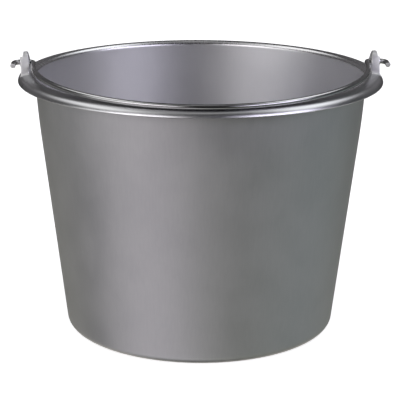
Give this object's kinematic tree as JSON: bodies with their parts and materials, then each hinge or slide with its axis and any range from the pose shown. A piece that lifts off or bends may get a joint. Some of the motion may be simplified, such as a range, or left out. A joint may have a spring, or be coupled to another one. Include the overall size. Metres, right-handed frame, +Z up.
{
  "type": "milk pail",
  "caption": "Open tapered metal pail with a wide rolled rim, a lug on each side and a round wire bail that swings over the top.",
  "frame": {"origin": "centre of the base, on the ground", "axes": "+Z up, +X through the right lug along the bail's hinge axis, -Y towards the side on which the bail rests"},
  "size_m": [0.331, 0.32, 0.2472],
  "materials": {
    "satin_aluminium": "matt satin, evenly blasted and anodised, soft highlights",
    "lug_aluminium": "cast and tumbled, brighter than the shell",
    "bail_steel": "drawn wire, smooth with fine lengthwise lines"
  },
  "bodies": {
    "pail": {"pail_body": "satin_aluminium", "lug_left": "lug_aluminium", "lug_right": "lug_aluminium"},
    "bail": {"bail_wire": "bail_steel"}
  },
  "joints": [
    {"name": "bail_swing", "type": "hinge", "parent": "pail", "child": "bail", "pos_m": [0, 0, 0.2378], "axis": [-1, 0, 0], "range_deg": [0, 184.8]}
  ]
}
